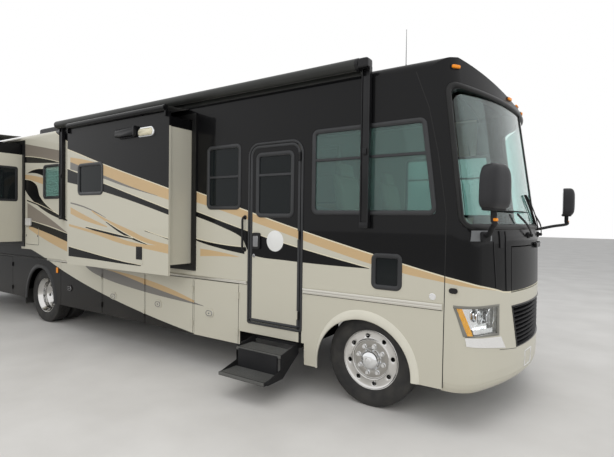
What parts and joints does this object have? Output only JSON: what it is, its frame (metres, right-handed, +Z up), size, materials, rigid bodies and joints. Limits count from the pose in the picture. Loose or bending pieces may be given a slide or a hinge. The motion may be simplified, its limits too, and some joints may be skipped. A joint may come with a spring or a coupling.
{
  "type": "motorhome",
  "caption": "Full-length coach motorhome with slide-out rooms, side entry door and step, baggage doors, patio awning, steered front wheels and twin rear wheels.",
  "frame": {"origin": "on the ground under the middle of the box round the whole vehicle", "axes": "+X forward, +Y to the left, +Z up"},
  "size_m": [11.3803, 4.174, 3.69],
  "materials": {
    "body_paint": "glossy champagne, black and tan bands with clear coat",
    "roof_skin": "off-white moulded glass fibre",
    "floor_board": "dark floor covering over board",
    "bay_sheet": "plain coated sheet",
    "trim": "moulded trim in body colour",
    "windshield_glass": "laminated, lightly tinted",
    "black_rubber": "matt moulded rubber",
    "black_trim": "black coated",
    "tinted_glass": "dark privacy glass in a black frame",
    "topper_fabric": "coated woven vinyl",
    "step_black": "black powder coat, ribbed",
    "lamp_lens": "clear, amber and red lenses",
    "mirror_housing": "dark grey moulded",
    "dash_plastic": "soft-touch dark grey",
    "seat_leather": "tan upholstery",
    "roof_plastic": "moulded shrouds",
    "bright_metal": "polished tube",
    "chassis_black": "black chassis paint",
    "engine_grey": "cast surfaces",
    "exhaust_steel": "aluminised steel",
    "wheel_steel": "bright wheel with a black tyre"
  },
  "bodies": {
    "root": {"front_cap": "body_paint", "right_sidewall": "body_paint", "left_sidewall": "body_paint", "roof": "roof_skin", "rear_cap": "body_paint", "floor": "floor_board", "baggage_bays": "bay_sheet", "skirt_panels": "body_paint", "body_trim": "trim", "windshield": "windshield_glass", "windshield_gasket": "black_rubber", "grille": "black_trim", "wall_windows": "tinted_glass", "entry_door_frame": "black_trim", "slide_seals": "black_rubber", "slide_topper_fabric": "topper_fabric", "patio_awning": "black_trim", "lamps": "lamp_lens", "mirrors": "mirror_housing", "dashboard": "dash_plastic", "cab_seats": "seat_leather", "roof_equipment": "roof_plastic", "rear_ladder": "bright_metal", "chassis_frame": "chassis_black", "floor_beams": "chassis_black", "hitch_receiver": "chassis_black", "wheel_wells": "bay_sheet", "front_axle": "chassis_black", "rear_axle": "chassis_black", "engine_block": "engine_grey", "fuel_tank": "chassis_black", "exhaust": "exhaust_steel"},
    "right_knuckle": {"right_knuckle": "chassis_black"},
    "left_knuckle": {"left_knuckle": "chassis_black"},
    "front_right_wheel": {"front_right_wheel": "wheel_steel"},
    "front_left_wheel": {"front_left_wheel": "wheel_steel"},
    "rear_right_wheels": {"rear_right_wheels": "wheel_steel"},
    "rear_left_wheels": {"rear_left_wheels": "wheel_steel"},
    "entry_door": {"entry_door": "body_paint", "entry_door_window": "tinted_glass"},
    "entry_step": {"entry_step": "step_black"},
    "front_hood": {"front_hood": "body_paint"},
    "right_front_slide": {"right_front_slide": "body_paint", "right_front_slide_windows": "tinted_glass", "right_front_slide_fittings": "black_trim"},
    "right_rear_slide": {"right_rear_slide": "body_paint", "right_rear_slide_windows": "tinted_glass"},
    "left_slide": {"left_slide": "body_paint", "left_slide_windows": "tinted_glass"},
    "right_bay_door_1": {"right_bay_door_1": "body_paint"},
    "right_bay_door_2": {"right_bay_door_2": "body_paint"},
    "right_bay_door_3": {"right_bay_door_3": "body_paint"},
    "right_bay_door_4": {"right_bay_door_4": "body_paint"},
    "right_bay_door_5": {"right_bay_door_5": "body_paint"},
    "left_bay_door_1": {"left_bay_door_1": "body_paint"},
    "left_bay_door_2": {"left_bay_door_2": "body_paint"},
    "left_bay_door_3": {"left_bay_door_3": "body_paint"},
    "left_bay_door_4": {"left_bay_door_4": "body_paint"}
  },
  "joints": [
    {"name": "right_steer", "type": "hinge", "parent": "root", "child": "right_knuckle", "pos_m": [4.15, -0.9, 0.458], "axis": [0, 0, 1], "range_deg": [-35, 35]},
    {"name": "left_steer", "type": "hinge", "parent": "root", "child": "left_knuckle", "pos_m": [4.15, 0.9, 0.458], "axis": [0, 0, 1], "range_deg": [-35, 35]},
    {"name": "front_right_spin", "type": "hinge", "parent": "right_knuckle", "child": "front_right_wheel", "pos_m": [4.15, -1.048, 0.458], "axis": [0, 1, 0], "continuous": true},
    {"name": "rear_right_spin", "type": "hinge", "parent": "root", "child": "rear_right_wheels", "pos_m": [-1.997, -1.09, 0.458], "axis": [0, 1, 0], "continuous": true},
    {"name": "front_left_spin", "type": "hinge", "parent": "left_knuckle", "child": "front_left_wheel", "pos_m": [4.15, 1.048, 0.458], "axis": [0, 1, 0], "continuous": true},
    {"name": "rear_left_spin", "type": "hinge", "parent": "root", "child": "rear_left_wheels", "pos_m": [-1.997, 1.09, 0.458], "axis": [0, 1, 0], "continuous": true},
    {"name": "entry_door_swing", "type": "hinge", "parent": "root", "child": "entry_door", "pos_m": [3.391, -1.304, 1.66], "axis": [0, 0, 1], "range_deg": [0, 100]},
    {"name": "front_hood_swing", "type": "hinge", "parent": "root", "child": "front_hood", "pos_m": [5.472, 0, 1.618], "axis": [0, -1, 0], "range_deg": [0, 60]},
    {"name": "entry_step_slide", "type": "slide", "parent": "root", "child": "entry_step", "axis": [0, 1, 0], "range_m": [0, 0.545]},
    {"name": "right_front_slide_travel", "type": "slide", "parent": "root", "child": "right_front_slide", "axis": [0, 1, 0], "range_m": [0, 0.321], "deforming": ["slide_topper_fabric"]},
    {"name": "right_rear_slide_travel", "type": "slide", "parent": "root", "child": "right_rear_slide", "axis": [0, 1, 0], "range_m": [0, 0.696], "deforming": ["slide_topper_fabric"]},
    {"name": "left_slide_travel", "type": "slide", "parent": "root", "child": "left_slide", "axis": [0, -1, 0], "range_m": [0, 0.696], "deforming": ["slide_topper_fabric"]},
    {"name": "right_bay_door_1_swing", "type": "hinge", "parent": "root", "child": "right_bay_door_1", "pos_m": [2.541, -1.294, 0.73], "axis": [0, 0, 1], "range_deg": [0, 90]},
    {"name": "right_bay_door_2_swing", "type": "hinge", "parent": "root", "child": "right_bay_door_2", "pos_m": [1.781, -1.294, 0.73], "axis": [0, 0, 1], "range_deg": [0, 90]},
    {"name": "right_bay_door_3_swing", "type": "hinge", "parent": "root", "child": "right_bay_door_3", "pos_m": [0.821, -1.294, 0.73], "axis": [0, 0, 1], "range_deg": [0, 90]},
    {"name": "right_bay_door_4_swing", "type": "hinge", "parent": "root", "child": "right_bay_door_4", "pos_m": [-0.179, -1.294, 0.73], "axis": [0, 0, 1], "range_deg": [0, 90]},
    {"name": "right_bay_door_5_swing", "type": "hinge", "parent": "root", "child": "right_bay_door_5", "pos_m": [-3.009, -1.294, 0.73], "axis": [0, 0, 1], "range_deg": [0, 90]},
    {"name": "left_bay_door_1_swing", "type": "hinge", "parent": "root", "child": "left_bay_door_1", "pos_m": [2.541, 1.294, 0.73], "axis": [0, 0, -1], "range_deg": [0, 90]},
    {"name": "left_bay_door_2_swing", "type": "hinge", "parent": "root", "child": "left_bay_door_2", "pos_m": [1.781, 1.294, 0.73], "axis": [0, 0, -1], "range_deg": [0, 90]},
    {"name": "left_bay_door_3_swing", "type": "hinge", "parent": "root", "child": "left_bay_door_3", "pos_m": [0.821, 1.294, 0.73], "axis": [0, 0, -1], "range_deg": [0, 90]},
    {"name": "left_bay_door_4_swing", "type": "hinge", "parent": "root", "child": "left_bay_door_4", "pos_m": [-0.179, 1.294, 0.73], "axis": [0, 0, -1], "range_deg": [0, 90]}
  ],
  "couplings": [
    {"joint": "left_steer", "follows": "right_steer", "ratio": 1}
  ]
}
